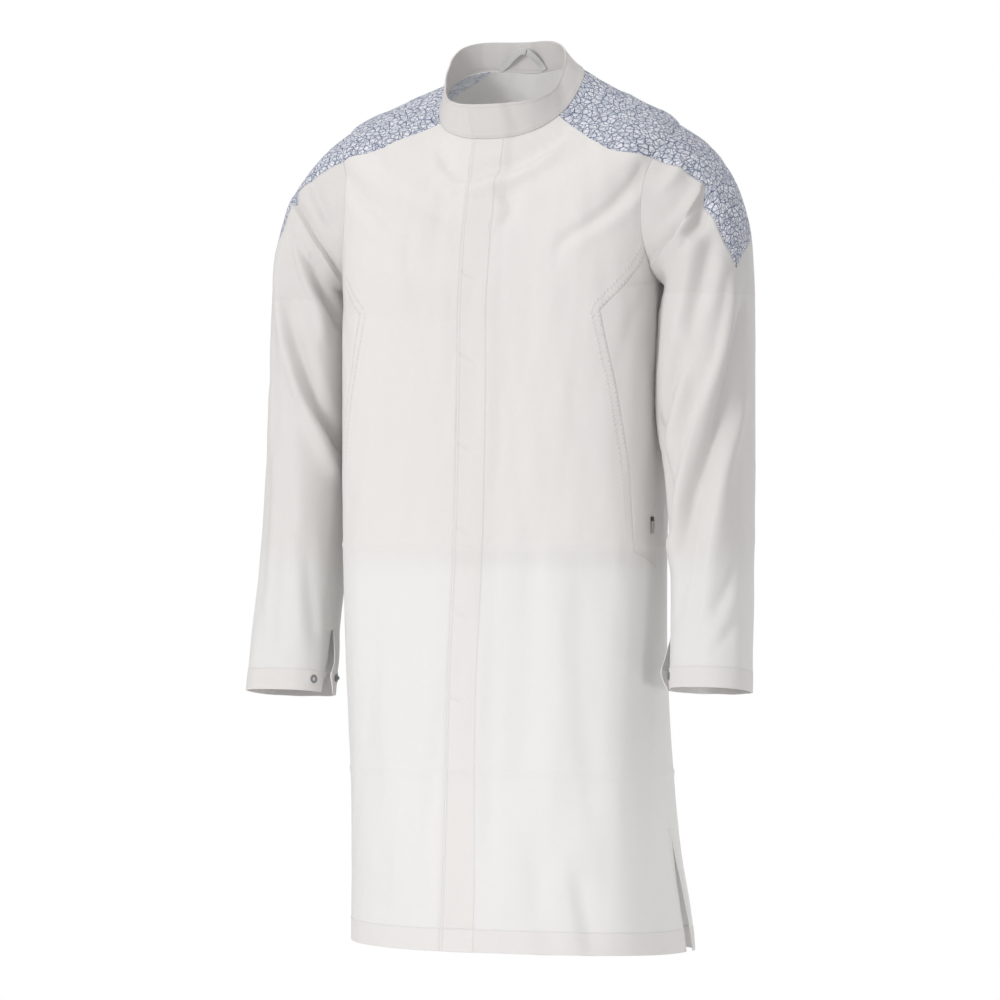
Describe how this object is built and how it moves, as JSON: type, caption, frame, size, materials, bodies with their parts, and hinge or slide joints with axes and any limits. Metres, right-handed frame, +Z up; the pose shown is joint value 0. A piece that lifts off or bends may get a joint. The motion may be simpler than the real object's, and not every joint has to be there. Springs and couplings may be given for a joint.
{
  "type": "work coat",
  "caption": "Knee-length work coat with a stand collar, printed shoulder yokes, a concealed fly front, side vents and open snap cuffs, in its worn form.",
  "frame": {"origin": "inside the base of the neck, level with the shoulders that hold the coat up", "axes": "+Z up from hem to collar, front towards -Y, +X towards the wearer's left"},
  "size_m": [0.6323, 0.3309, 1.0978],
  "materials": {
    "white_twill": "matt white twill, fine diagonal weave",
    "printed_twill": null,
    "white_tape": "narrow woven tape",
    "tab_cloth": "plain grey woven tab",
    "snap_steel": "darkened steel ring snap"
  },
  "bodies": {
    "root": {"front_left": "white_twill", "front_right": "white_twill", "side_left": "white_twill", "side_right": "white_twill", "back": "white_twill", "sleeve_left": "white_twill", "sleeve_right": "white_twill", "collar": "white_twill", "yoke_left": "printed_twill", "yoke_right": "printed_twill", "hanger_loop": "white_tape", "side_tab": "tab_cloth", "snap_ring_left": "snap_steel", "snap_ring_right": "snap_steel", "snap_stud_left": "snap_steel", "snap_stud_right": "snap_steel"}
  },
  "joints": []
}
